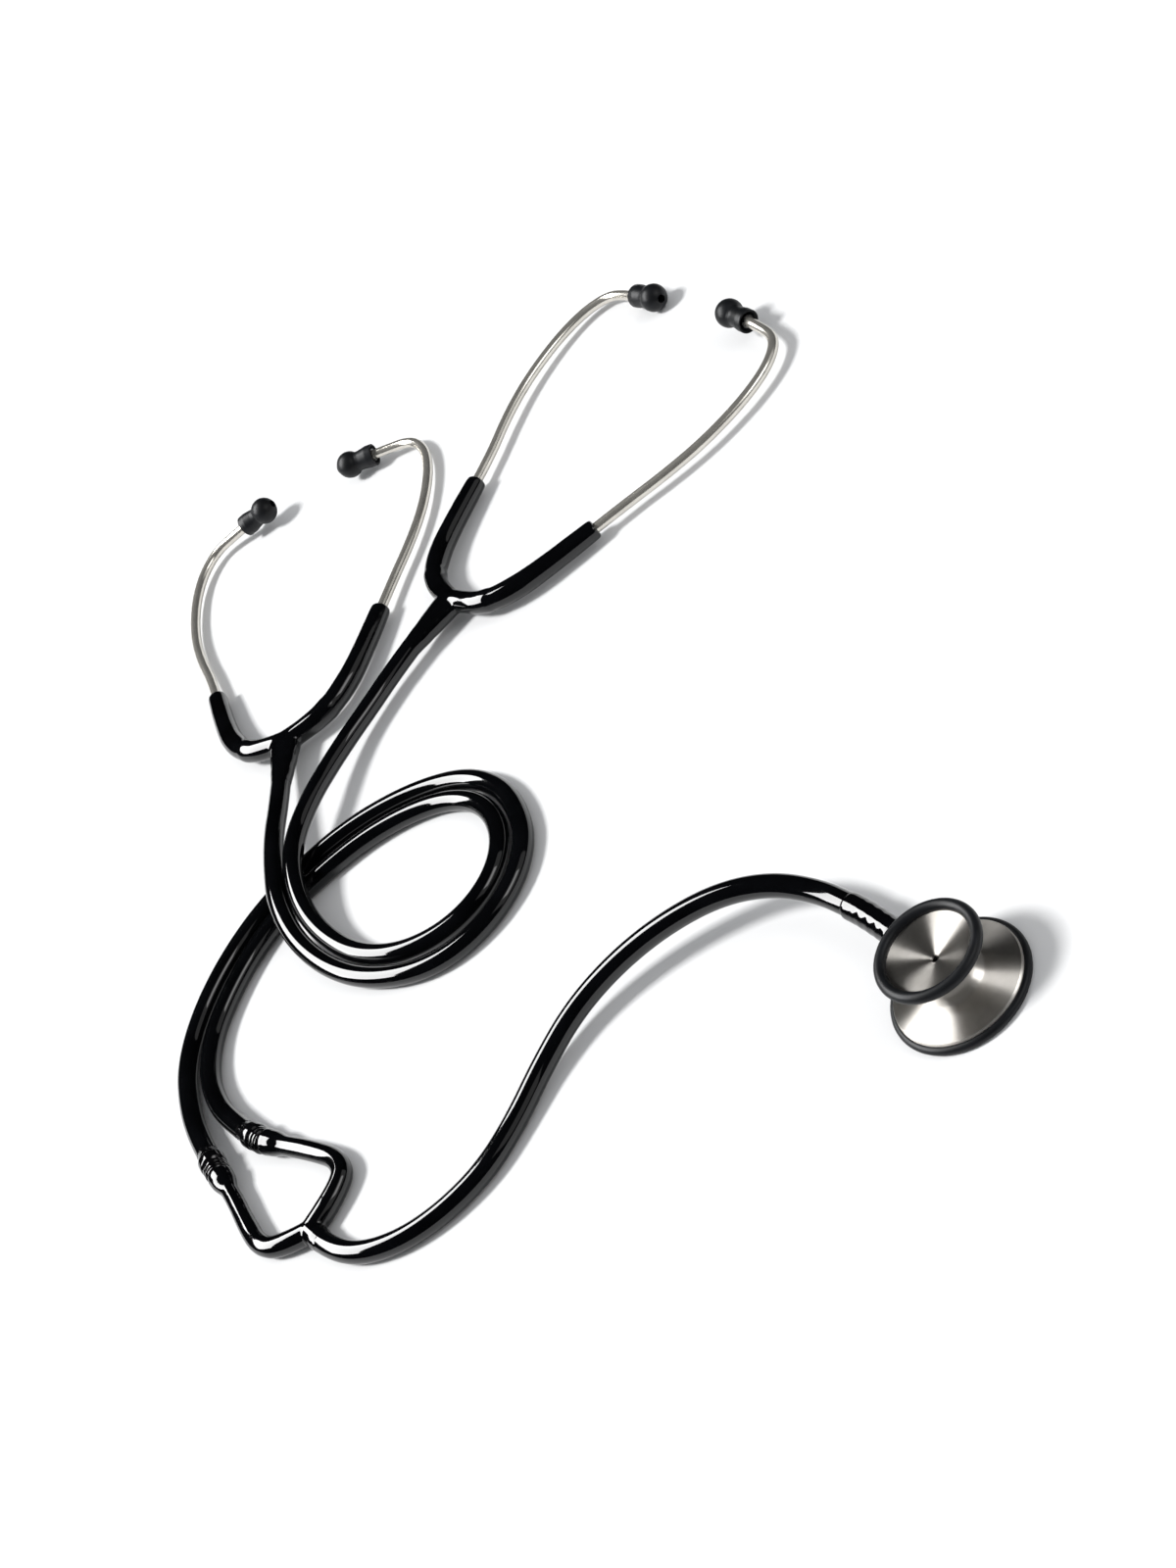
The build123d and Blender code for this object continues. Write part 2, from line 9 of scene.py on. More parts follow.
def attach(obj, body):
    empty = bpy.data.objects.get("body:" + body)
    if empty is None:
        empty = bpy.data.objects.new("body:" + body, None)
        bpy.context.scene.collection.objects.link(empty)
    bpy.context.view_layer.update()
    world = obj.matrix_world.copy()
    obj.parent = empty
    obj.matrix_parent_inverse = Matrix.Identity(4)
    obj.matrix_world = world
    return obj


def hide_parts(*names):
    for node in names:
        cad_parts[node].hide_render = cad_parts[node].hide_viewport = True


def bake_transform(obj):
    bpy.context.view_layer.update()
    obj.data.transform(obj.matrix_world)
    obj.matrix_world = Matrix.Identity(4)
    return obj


# A training stethoscope: chestpiece, hose, Y fitting and two headsets.
# Metres, in the row's frame. MM turns the millimetres that the sizes are given in to metres.

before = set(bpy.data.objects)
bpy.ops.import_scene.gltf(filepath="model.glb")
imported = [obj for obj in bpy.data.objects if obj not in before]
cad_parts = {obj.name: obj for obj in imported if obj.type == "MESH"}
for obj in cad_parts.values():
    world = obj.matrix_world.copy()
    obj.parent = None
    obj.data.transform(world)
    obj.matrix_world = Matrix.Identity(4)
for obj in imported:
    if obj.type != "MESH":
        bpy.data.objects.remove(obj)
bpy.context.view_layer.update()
MM = 0.001

# Camera: where it stands and how it is turned
CAMERA_PLACE = Vector((-85.1, -611.9, 620.2)) * MM
CAMERA_HEADING = 4.5        # degrees right of +Y
CAMERA_DOWN = 36.65         # degrees below level
CAMERA_ROLL = -45.57
LENS = 63.0
SENSOR = 36.0

# Lights: (set about, where it stands, size in metres, radiance of its face, roll in degrees)
MIDDLE = Vector((-0.05, 0.25, 0.0))
CHEST = Vector((0.0, 0.0, 0.0))
LIGHTS = {
    "key": (MIDDLE, {"azimuth": 135.5, "elevation": 42.5, "distance": 2.4}, (2.35, 1.1), 17.0, -27.7),
    "sun": (MIDDLE, {"azimuth": 159.2, "elevation": 55.3, "distance": 4.0}, (0.9, 0.9), 85.0, 0.0),
    "side": (MIDDLE, {"azimuth": 316.0, "elevation": 36.0, "distance": 2.4}, (1.1, 0.8), 3.2, 0.0),
    "reflector": (MIDDLE, {"azimuth": 320.0, "elevation": 32.0, "distance": 2.8}, (3.0, 2.1), 0.5, 0.0),
    "steel_key": (CHEST, {"azimuth": 143.0, "elevation": 42.0, "distance": 2.4}, (2.45, 0.8), 17.0, 46.9),
    "steel_side": (CHEST, {"azimuth": 330.0, "elevation": 38.0, "distance": 2.4}, (1.1, 0.8), 14.0, -17.0),
}
SHINE_ONLY = ("key", "steel_key", "steel_side")
SHADE_ONLY = ("sun",)
ONLY_ON_STEEL = ("steel_key", "steel_side")
NEVER_ON_STEEL = ("key", "side")
WORLD_COLOUR = (0.95, 0.97, 1.0, 1)
WORLD_STRENGTH = 0.62
FLOOR_HALF = 6.0
FLOOR_COLOUR = (0.62, 0.62, 0.62, 1)

# Hoses
HOSE_R = 4.25
MAIN_ROUTE = [
    (0.0, 26.0, 11.6),
    (0.0, 38.0, 11.6),
    (-0.9, 51.5, 11.7),
    (-3.6, 66.9, 13.4),
    (-11.4, 82.9, 17.0),
    (-25.0, 98.0, 18.2),
    (-44.0, 111.2, 16.4),
    (-65.0, 120.6, 13.2),
    (-87.0, 124.9, 9.5),
    (-108.5, 122.0, 6.0),
    (-128.0, 115.0, 4.4),
    (-147.5, 109.7, 4.3),
    (-167.0, 111.2, 4.3),
    (-184.5, 117.6, 4.3),
    (-198.0, 128.5, 4.3),
    (-205.2, 141.3, 4.3),
    (-206.7, 150.0, 4.4),
]
HOSE_B_ROUTE = [
    (-106.5, 352.5, 11.0),
    (-115.0, 338.0, 13.6),
    (-124.0, 321.5, 14.6),
    (-134.4, 300.2, 14.2),
    (-139.8, 276.0, 9.6),
    (-136.5, 249.0, 6.0),
    (-125.5, 226.5, 4.4),
    (-108.5, 208.5, 4.3),
    (-87.0, 202.2, 4.3),
    (-66.0, 206.5, 4.3),
    (-51.0, 219.5, 4.3),
    (-43.6, 237.5, 4.3),
    (-41.5, 257.0, 4.3),
    (-47.2, 276.5, 4.3),
    (-62.0, 294.0, 4.3),
    (-81.0, 307.5, 4.3),
    (-101.5, 316.2, 4.3),
    (-124.0, 320.0, 4.3),
    (-147.5, 319.2, 4.3),
    (-170.5, 312.2, 4.3),
    (-190.5, 300.2, 4.3),
    (-205.4, 284.4, 4.4),
    (-213.8, 265.1, 4.9),
    (-218.0, 247.0, 5.7),
]
HOSE_A_ROUTE = [
    (-33.5, 361.6, 8.2),
    (-48.5, 357.9, 8.0),
    (-64.0, 353.2, 8.8),
    (-79.5, 345.2, 11.0),
    (-94.3, 335.3, 13.8),
    (-110.2, 323.3, 14.6),
    (-120.9, 308.5, 14.2),
    (-128.5, 289.5, 11.4),
    (-130.2, 270.5, 8.0),
    (-126.8, 250.5, 5.6),
    (-116.8, 232.8, 4.4),
    (-102.0, 220.5, 4.3),
    (-85.5, 215.8, 4.3),
    (-69.5, 219.2, 4.3),
    (-57.4, 230.0, 4.3),
    (-51.6, 245.0, 4.3),
    (-51.8, 261.0, 4.3),
    (-59.2, 276.5, 4.3),
    (-73.0, 289.5, 4.3),
    (-90.0, 299.3, 4.3),
    (-108.5, 305.2, 4.3),
    (-130.0, 308.6, 4.3),
    (-152.0, 306.2, 4.3),
    (-172.5, 297.6, 4.3),
    (-189.5, 285.9, 4.3),
    (-200.7, 269.0, 4.6),
    (-204.6, 251.5, 5.2),
    (-204.2, 237.5, 5.9),
]

# Sleeve over the stem: (distance, radius), and the ripple where it grips the barbs
SLEEVE_LENGTH = 26.2
SLEEVE_RADII = [(0.0, 4.7), (1.5, 4.85), (24.0, 4.82), (25.2, 4.75), (26.2, 4.2)]
RIPPLE_HEIGHT = 0.035
RIPPLE_PITCH = 4.8
RIPPLE_FADE = [(2.0, 0.0), (5.0, 1.0), (18.0, 1.0), (21.0, 0.0)]

# Y fitting
CONNECTORS = {
    "left": {"hose_end": (-219.2, 234.0, 6.3), "fork_end": (-220.4, 222.6, 6.2)},
    "right": {"hose_end": (-202.6, 225.9, 6.3), "fork_end": (-200.2, 214.6, 6.2)},
}
FORKS = {
    "left": {
        "bends": [(-221.4, 206.0, 5.6), (-224.2, 189.0, 5.0), (-225.4, 174.8, 4.7), (-219.6, 165.2, 4.7)],
        "neck_r": 3.4,
        "leg_r": 3.8,
    },
    "right": {
        "bends": [(-195.4, 203.6, 5.6), (-188.7, 189.4, 5.0), (-183.1, 173.8, 4.7), (-187.6, 162.8, 4.7)],
        "neck_r": 3.85,
        "leg_r": 3.95,
    },
}
JUNCTION = (-207.6, 158.6, 4.7)
FORK_SKIN_START = 2.2       # the rings cover the fork's first few millimetres
FORK_VOXEL = 0.00036
FORK_SMOOTHING = 12
FORK_STEM_RADII = [(0.0, 4.5), (0.7, 4.62), (1.0, 4.4), (1.2, 4.1)]
# Bead and two rings on the connector: (radius, distance, corner radius)
CONNECTOR_OUTLINE = [
    (1.6, -7.0, 0.1),
    (2.4, -7.0, 0.2),
    (2.4, -0.1, 0.0),
    (4.2, -0.1, 0.0),
    (4.25, 3.2, 0.3),
    (5.3, 4.2, 1.5),
    (5.3, 8.0, 1.5),
    (4.45, 8.9, 0.3),
    (4.45, 9.3, 0.2),
    (5.0, 9.5, 0.4),
    (5.0, 10.9, 0.4),
    (4.5, 11.1, 0.2),
    (4.5, 11.4, 0.2),
    (5.0, 11.6, 0.4),
    (5.0, 12.9, 0.4),
    (4.4, 13.2, 0.2),
]

# Headsets, in their own plane: x to the side, y from the yoke to the ear tips, z up
HINGE = (8.0, 2.0)
TAIL_LENGTH = 26.0
EAR_TUBE_R = 2.3
EAR_TUBE_GRIP = 20.0
EAR_TUBE_STRAIGHT = 32.0
TAIL_WIDE = [
    (-29.0, 4.05),
    (-25.0, 4.55),
    (-18.0, 5.5),
    (-11.0, 6.5),
    (-4.0, 7.4),
    (0.0, 7.6),
    (3.0, 4.6),
]
TAIL_HIGH = [
    (-29.0, 4.05),
    (-25.0, 4.35),
    (-18.0, 4.6),
    (-11.0, 4.9),
    (-5.0, 5.1),
    (-1.0, 4.9),
    (3.0, 2.2),
]
TAIL_PAST_HOSE = 3.0
TAIL_STEPS = 33
YOKE_VOXEL = 0.00042
YOKE_SMOOTHING = 60
ARM_INNER_POINT = Vector((0.0, 0.6, 0.0))
ARM_INNER_RADII = [(0.0, 4.9), (8.0, 4.8), (18.0, 5.0), (24.0, 5.3), (25.6, 5.0), (34.0, 5.15)]
ARM_END_RADII = [(16.0, 4.75), (2.0, 4.5), (0.0, 4.35)]      # by distance from the arm's end
BEND_START = Vector((5.0, 1.5, 0))
BEND_END = Vector((22.0, 6.5, 0))
ARM_POINTS = [(8.0, 2.0), (19.2, 5.2), (28.2, 12.8), (37.4, 28.0), (47.4, 56.2)]
EAR_TUBE_POINTS = [
    (61.2, 88.0, 0.9),
    (67.8, 107.5, 1.4),
    (70.6, 127.0, 1.9),
    (70.2, 142.0, 2.3),
    (67.2, 153.5, 2.7),
    (60.6, 162.2, 3.2),
    (50.0, 164.7, 4.0),
]
EAR_TUBE_END = (34.0, 165.3, 5.6)
TIP_SKIRT_DEPTH = 7.0
TIP_BALL_R = 6.2
TIP_BALL_PLACE = 13.4
TIP_BALL_ARC = (-40.0, 74.0)
TIP_SKIRT_OUTLINE = [
    (2.5, 3.0, 0.3),
    (4.0, 0.9, 0.6),
    (4.6, 0.0, 0.3),
    (5.15, 0.2, 0.5),
    (5.2, 3.4, 1.2),
    (4.55, 7.4, 1.4),
    (4.5, 9.0, 0.5),
    (4.75, 9.4, 0.0),
]
TIP_BORE_OUTLINE = [(1.95, 19.5), (1.9, 18.9), (1.9, 9.0)]
HEADSETS = {
    "a": {
        "centre": (6.2, 365.9, 8.0),
        "heading": 6.0,
        "rise_y": -0.031,
        "rise_x": 0.0065,
        "left": {"spread": 0.2, "twist": -2.3},
        "right": {"spread": 1.7, "twist": 1.2},
    },
    "b": {
        "centre": (-83.7, 387.2, 8.4),
        "heading": 55.3,
        "rise_y": -0.045,
        "rise_x": 0.004,
        "left": {"spread": -1.2, "twist": 3.4},
        "right": {"spread": -0.8, "twist": 1.5},
    },
}

# Chestpiece
BELL_RIM_R = 17.15
BELL_RIM_SECTION_R = 2.04
BELL_RIM_Z = 22.4
DIAPHRAGM_RIM_R = 23.7
DIAPHRAGM_RIM_SECTION_R = 1.6
# Bell cup, waist and diaphragm housing: (radius, height, corner radius)
CHEST_BODY_OUTLINE = [
    (1.4, 17.0, 0.0),
    (1.4, 17.9, 0.15),
    (14.9, 21.4, 0.4),
    (16.9, 21.9, 0.3),
    (17.6, 21.9, 0.2),
    (17.6, 21.1, 0.3),
    (15.4, 19.9, 2.0),
    (11.9, 17.2, 5.0),
    (9.6, 14.0, 4.0),
    (9.6, 9.9, 2.0),
    (11.3, 8.0, 0.7),
    (11.7, 7.55, 0.25),
    (12.1, 7.35, 0.3),
    (22.9, 4.25, 0.3),
    (23.3, 3.6, 0.2),
    (23.3, 1.4, 0.0),
    (22.4, 1.4, 0.0),
    (21.4, 1.7, 0.2),
    (20.8, 2.1, 0.2),
    (1.4, 4.3, 0.2),
    (1.4, 5.2, 0.0),
]


# ---------------------------------------------------------------- camera, light and floor

def set_camera():
    data = bpy.data.cameras.new("camera")
    data.lens = LENS
    data.sensor_fit = "VERTICAL"
    data.sensor_height = SENSOR
    data.clip_start = 0.01
    camera = bpy.data.objects.new("camera", data)
    bpy.context.scene.collection.objects.link(camera)
    turn = Matrix.Rotation(math.radians(-CAMERA_HEADING), 4, "Z")
    tilt = Matrix.Rotation(math.radians(90 - CAMERA_DOWN), 4, "X")
    roll = Matrix.Rotation(math.radians(CAMERA_ROLL), 4, "Z")
    camera.matrix_world = Matrix.Translation(CAMERA_PLACE) @ turn @ tilt @ roll
    bpy.context.scene.camera = camera


def toward(azimuth, elevation):
    """The direction of a place in the studio, in degrees from +X and above the floor."""
    a = math.radians(azimuth)
    e = math.radians(elevation)
    return Vector((math.cos(e) * math.cos(a), math.cos(e) * math.sin(a), math.sin(e)))


def soft_box(name, place, azimuth, elevation, size, radiance, roll):
    """A rectangular soft light. It faces back along the azimuth and elevation, in degrees."""
    width, height = size
    data = bpy.data.lights.new(name, "AREA")
    data.shape = "RECTANGLE"
    data.size = width
    data.size_y = height
    data.energy = radiance * math.pi * width * height
    light = bpy.data.objects.new(name, data)
    bpy.context.scene.collection.objects.link(light)
    facing = toward(azimuth, elevation).to_track_quat("Z", "Y").to_matrix().to_4x4()
    turn = Matrix.Rotation(math.radians(roll), 4, "Z")
    light.matrix_world = Matrix.Translation(place) @ facing @ turn
    light.visible_diffuse = name not in SHINE_ONLY
    light.visible_glossy = name not in SHADE_ONLY


def set_light():
    for name, (about, aim, size, radiance, roll) in LIGHTS.items():
        place = about + toward(aim["azimuth"], aim["elevation"]) * aim["distance"]
        soft_box(name, place, aim["azimuth"], aim["elevation"], size, radiance, roll)
    world = bpy.data.worlds.new("studio")
    world.use_nodes = True
    background = world.node_tree.nodes["Background"]
    background.inputs["Color"].default_value = WORLD_COLOUR
    background.inputs["Strength"].default_value = WORLD_STRENGTH
    world.cycles_visibility.glossy = False
    bpy.context.scene.world = world
    bpy.context.scene.view_settings.view_transform = "Standard"


def set_floor():
    corners = [(x * FLOOR_HALF, y * FLOOR_HALF, 0) for x, y in ((-1, -1), (1, -1), (1, 1), (-1, 1))]
    mesh = bpy.data.meshes.new("floor")
    mesh.from_pydata(corners, [], [(0, 1, 2, 3)])
    floor = bpy.data.objects.new("floor", mesh)
    bpy.context.scene.collection.objects.link(floor)
    material = bpy.data.materials.new("white_floor")
    material.use_nodes = True
    shader = material.node_tree.nodes["Principled BSDF"]
    shader.inputs["Base Color"].default_value = FLOOR_COLOUR
    shader.inputs["Roughness"].default_value = 0.8
    shader.inputs["Specular IOR Level"].default_value = 0.2
    mesh.materials.append(material)


# ---------------------------------------------------------------- materials

class Nodes:
    """A short way to write a material's node tree."""

    def __init__(self, name):
        self.material = bpy.data.materials.new(name)
        self.material.use_nodes = True
        self.tree = self.material.node_tree
        self.shader = self.tree.nodes["Principled BSDF"]

    def add(self, kind, inputs=None, **settings):
        node = self.tree.nodes.new(kind)
        for key, value in settings.items():
            setattr(node, key, value)
        for key, value in (inputs or {}).items():
            if isinstance(value, bpy.types.NodeSocket):
                self.tree.links.new(value, node.inputs[key])
            else:
                node.inputs[key].default_value = value
        return node

    def link(self, output, input_name):
        self.tree.links.new(output, self.shader.inputs[input_name])

    def set(self, **values):
        for key, value in values.items():
            self.shader.inputs[key.replace("_", " ")].default_value = value

    def ramp(self, fac, stops):
        node = self.add("ShaderNodeValToRGB", {"Fac": fac})
        band = node.color_ramp
        while len(band.elements) < len(stops):
            band.elements.new(0.5)
        for element, (place, colour) in zip(band.elements, stops):
            element.position = place
            element.color = (*colour, 1)
        return node.outputs["Color"]

    def noise(self, scale, detail):
        """Noise in object space, in cycles per metre."""
        place = self.add("ShaderNodeTexCoord").outputs["Object"]
        node = self.add("ShaderNodeTexNoise", {"Vector": place, "Scale": scale, "Detail": detail})
        return node.outputs["Fac"]

    def ring_noise(self, distance, scale, detail):
        """Noise that changes only with a distance, for rings left by turning."""
        inputs = {"W": distance, "Scale": scale, "Detail": detail}
        return self.add("ShaderNodeTexNoise", inputs, noise_dimensions="1D").outputs["Fac"]

    def bump(self, height, strength, distance):
        inputs = {"Height": height, "Strength": strength, "Distance": distance}
        node = self.add("ShaderNodeBump", inputs)
        self.link(node.outputs["Normal"], "Normal")

    def range(self, value, low, high):
        node = self.add("ShaderNodeMapRange", {"Value": value, "To Min": low, "To Max": high})
        return node.outputs["Result"]


def gloss_vinyl(name, colour=(0.0012, 0.0013, 0.0016)):
    """Black moulded vinyl: a wet gloss over a faint ripple, with patches of handling haze."""
    m = Nodes(name)
    cloud = m.noise(60, 3)
    fine = m.noise(900, 5)
    dark = tuple(c * 0.7 for c in colour)
    light = tuple(c * 1.5 for c in colour)
    m.link(m.ramp(cloud, [(0.3, dark), (0.7, light)]), "Base Color")
    m.link(m.range(fine, 0.03, 0.08), "Roughness")
    m.set(IOR=1.52)
    m.bump(m.noise(140, 2), 0.1, 0.00015)
    return m.material


def satin_rubber(name):
    """Soft black rubber: a matt, slightly dusty skin with a fine grain."""
    m = Nodes(name)
    cloud = m.noise(90, 4)
    grain = m.noise(4200, 3)
    dark = (0.0035, 0.0038, 0.0045)
    dusty = (0.008, 0.009, 0.011)
    m.link(m.ramp(cloud, [(0.3, dark), (0.75, dusty)]), "Base Color")
    m.link(m.range(grain, 0.36, 0.48), "Roughness")
    m.set(Specular_IOR_Level=0.22)
    m.bump(grain, 0.2, 0.00004)
    return m.material


def turned_steel(name):
    """Stainless steel turned on a lathe: fine rings about the vertical axis."""
    m = Nodes(name)
    place = m.add("ShaderNodeTexCoord").outputs["Object"]
    parts = m.add("ShaderNodeSeparateXYZ", {"Vector": place}).outputs
    flat = m.add("ShaderNodeCombineXYZ", {"X": parts["X"], "Y": parts["Y"], "Z": 0.0}).outputs["Vector"]
    radius = m.add("ShaderNodeVectorMath", {0: flat}, operation="LENGTH").outputs["Value"]
    across = m.add("ShaderNodeMath", {0: radius, 1: parts["Z"]}, operation="ADD").outputs["Value"]
    rings = m.ring_noise(across, 9000, 3)
    broad = m.ring_noise(across, 700, 2)
    cloud = m.noise(120, 3)
    dark = (0.42, 0.40, 0.37)
    light = (0.52, 0.50, 0.47)
    m.link(m.ramp(cloud, [(0.3, dark), (0.7, light)]), "Base Color")
    m.link(m.range(broad, 0.36, 0.42), "Roughness")
    m.set(Metallic=0.95, Anisotropic=0.97, Anisotropic_Rotation=0.25)
    m.bump(rings, 0.12, 0.00001)
    tangent = m.add("ShaderNodeTangent", direction_type="RADIAL", axis="Z")
    m.link(tangent.outputs["Tangent"], "Tangent")
    return m.material


def polished_steel(name, colour=(0.72, 0.69, 0.63), rough=(0.17, 0.25), metal=0.85):
    """Drawn and polished tube: bright, slightly warm, with faint lengthwise variation."""
    m = Nodes(name)
    cloud = m.noise(160, 4)
    fine = m.noise(2600, 3)
    dark = tuple(c * 0.85 for c in colour)
    m.link(m.ramp(cloud, [(0.3, dark), (0.7, colour)]), "Base Color")
    m.link(m.range(fine, *rough), "Roughness")
    m.set(Metallic=metal)
    m.bump(fine, 0.05, 0.00002)
    return m.material


def pale_resin(name):
    """The diaphragm's thin glass-filled disc, with a faint woven mottling."""
    m = Nodes(name)
    place = m.add("ShaderNodeTexCoord").outputs["Object"]
    weave = m.add("ShaderNodeTexWave", {"Vector": place, "Scale": 380.0})
    dark = (0.62, 0.60, 0.53)
    light = (0.70, 0.68, 0.62)
    m.link(m.ramp(weave.outputs["Fac"], [(0.2, dark), (0.8, light)]), "Base Color")
    m.link(m.range(m.noise(500, 3), 0.3, 0.42), "Roughness")
    m.bump(weave.outputs["Fac"], 0.15, 0.00003)
    return m.material


MATERIALS = {}


def make_materials():
    MATERIALS["vinyl"] = gloss_vinyl("black_vinyl")
    MATERIALS["connector"] = gloss_vinyl("black_connector", (0.0015, 0.0015, 0.0018))
    MATERIALS["rubber"] = satin_rubber("black_rubber")
    MATERIALS["turned"] = turned_steel("turned_steel")
    MATERIALS["tube"] = polished_steel("polished_tube")
    MATERIALS["spring"] = polished_steel("spring_steel", (0.42, 0.43, 0.45), (0.2, 0.35), 1.0)
    MATERIALS["resin"] = pale_resin("diaphragm_resin")


def give(obj, key):
    obj.data.materials.clear()
    obj.data.materials.append(MATERIALS[key])


# ---------------------------------------------------------------- mesh tools

def mm(point):
    return Vector(point) * MM


def new_mesh(name, vertices, faces):
    mesh = bpy.data.meshes.new(name)
    mesh.from_pydata(vertices, [], faces)
    mesh.update()
    mesh.shade_smooth()
    obj = bpy.data.objects.new(name, mesh)
    bpy.context.scene.collection.objects.link(obj)
    return obj


def spline_points(points, per_span):
    """Points along the smooth spline whose control points are given."""
    curve = bpy.data.curves.new("measure", "CURVE")
    curve.dimensions = "3D"
    curve.resolution_u = per_span
    fill_spline(curve, points)
    obj = bpy.data.objects.new("measure", curve)
    mesh = bpy.data.meshes.new_from_object(obj)
    line = [v.co.copy() for v in mesh.vertices]
    bpy.data.objects.remove(obj)
    bpy.data.curves.remove(curve)
    bpy.data.meshes.remove(mesh)
    return line


def fill_spline(curve, points):
    """The smooth spline that the points steer; it starts and ends on the end points."""
    spline = curve.splines.new("NURBS")
    spline.points.add(len(points) - 1)
    for place, point in zip(spline.points, points):
        place.co = (*point, 1.0)
    spline.order_u = 3
    spline.use_endpoint_u = True


def hose_curve(name, points, radius):
    """A round tube along a smooth spline."""
    curve = bpy.data.curves.new(name, "CURVE")
    curve.dimensions = "3D"
    fill_spline(curve, points)
    curve.resolution_u = 10
    curve.bevel_depth = radius
    curve.bevel_resolution = 10
    curve.use_fill_caps = True
    obj = bpy.data.objects.new(name, curve)
    bpy.context.scene.collection.objects.link(obj)
    return obj


def lathe(name, outline, frame_matrix, turns=96, closed=False):
    """Turn an outline of (radius, height) in metres about the frame's z axis."""
    vertices = []
    faces = []
    count = len(outline)
    for i in range(turns):
        a = 2 * math.pi * i / turns
        for r, h in outline:
            vertices.append(frame_matrix @ Vector((r * math.cos(a), r * math.sin(a), h)))
    last = count if closed else count - 1
    for i in range(turns):
        j = (i + 1) % turns
        for k in range(last):
            n = (k + 1) % count
            faces.append((i * count + k, j * count + k, j * count + n, i * count + n))
    obj = new_mesh(name, vertices, faces)
    bm = bmesh.new()
    bm.from_mesh(obj.data)
    bmesh.ops.remove_doubles(bm, verts=bm.verts, dist=1e-7)
    bmesh.ops.recalc_face_normals(bm, faces=bm.faces)
    bm.to_mesh(obj.data)
    bm.free()
    obj.data.shade_smooth()
    return obj


def rounded_outline(points, per_corner=4):
    """Points in mm as (x, y, round): each corner cut by an arc of about that radius. In metres."""
    out = []
    count = len(points)
    for i, (x, y, r) in enumerate(points):
        here = Vector((x, y))
        before = Vector(points[i - 1][:2]) - here
        after = Vector(points[(i + 1) % count][:2]) - here
        if r <= 0 or before.length < 1e-6 or after.length < 1e-6:
            out.append(here * MM)
            continue
        turn = math.pi - before.angle(after)
        lead = min(r * math.tan(turn / 2), 0.45 * before.length, 0.45 * after.length)
        a = here + before.normalized() * lead
        b = here + after.normalized() * lead
        for k in range(per_corner + 1):
            t = k / per_corner
            out.append(((1 - t) ** 2 * a + 2 * t * (1 - t) * here + t * t * b) * MM)
    return [(p.x, p.y) for p in out]


def look_along(origin, direction):
    """A frame at origin with z along direction and x as near straight up as it can be."""
    up = Vector((0, 0, 1))
    z = Vector(direction).normalized()
    x = (up - z * up.dot(z)).normalized()
    y = z.cross(x)
    matrix = Matrix((x, y, z)).transposed().to_4x4()
    matrix.translation = Vector(origin)
    return matrix


def swept(name, line, radii, turns=40):
    """A closed tube along a line of points. A radius is one number, or a (high, wide) pair."""
    vertices = []
    faces = []
    for i, point in enumerate(line):
        direction = line[min(i + 1, len(line) - 1)] - line[max(i - 1, 0)]
        place = look_along(point, direction)
        high, wide = radii[i] if isinstance(radii[i], tuple) else (radii[i], radii[i])
        for k in range(turns):
            a = 2 * math.pi * k / turns
            vertices.append(place @ Vector((high * math.cos(a), wide * math.sin(a), 0)))
    for i in range(len(line) - 1):
        for k in range(turns):
            n = (k + 1) % turns
            faces.append((i * turns + k, i * turns + n, (i + 1) * turns + n, (i + 1) * turns + k))
    faces.append(tuple(reversed(range(turns))))
    faces.append(tuple(range((len(line) - 1) * turns, len(line) * turns)))
    return new_mesh(name, vertices, faces)


def run_lengths(line):
    total = [0.0]
    for a, b in zip(line, line[1:]):
        total.append(total[-1] + (b - a).length)
    return total


def along(table, s):
    """Smoothly read a table of (distance, value) at a distance."""
    if s <= table[0][0]:
        return table[0][1]
    for (s0, v0), (s1, v1) in zip(table, table[1:]):
        if s <= s1:
            t = (s - s0) / (s1 - s0)
            t = t * t * (3 - 2 * t)
            return v0 + (v1 - v0) * t
    return table[-1][1]


def fused(name, pieces, voxel, smooth_steps):
    """Join overlapping closed pieces into one skin and soften where they meet."""
    bpy.ops.object.select_all(action="DESELECT")
    for piece in pieces:
        piece.select_set(True)
    bpy.context.view_layer.objects.active = pieces[0]
    bpy.ops.object.join()
    obj = pieces[0]
    obj.name = name
    remesh = obj.modifiers.new("remesh", "REMESH")
    remesh.mode = "VOXEL"
    remesh.voxel_size = voxel
    soften = obj.modifiers.new("soften", "SMOOTH")
    soften.factor = 0.5
    soften.iterations = smooth_steps
    apply_modifiers(obj)
    obj.data.shade_smooth()
    return obj


def apply_modifiers(obj):
    bpy.context.view_layer.update()
    evaluated = obj.evaluated_get(bpy.context.evaluated_depsgraph_get())
    mesh = bpy.data.meshes.new_from_object(evaluated)
    obj.modifiers.clear()
    old = obj.data
    obj.data = mesh
    bpy.data.meshes.remove(old)


# ---------------------------------------------------------------- headset geometry

def turned(point, about, degrees):
    a = math.radians(degrees)
    dx = point[0] - about[0]
    dy = point[1] - about[1]
    x = about[0] + dx * math.cos(a) - dy * math.sin(a)
    y = about[1] + dx * math.sin(a) + dy * math.cos(a)
    return Vector((x, y, point[2] if len(point) > 2 else 0.0))


def headset_frame(name):
    """The headset's own frame in mm: x to its right, y to its tips, z up."""
    lie = HEADSETS[name]
    a = math.radians(lie["heading"])
    y = Vector((math.cos(a), math.sin(a), lie["rise_y"])).normalized()
    z = Vector((math.sin(a), -math.cos(a), lie["rise_x"])).cross(y).normalized()
    matrix = Matrix((y.cross(z), y, z)).transposed().to_4x4()
    matrix.translation = Vector(lie["centre"])
    return matrix


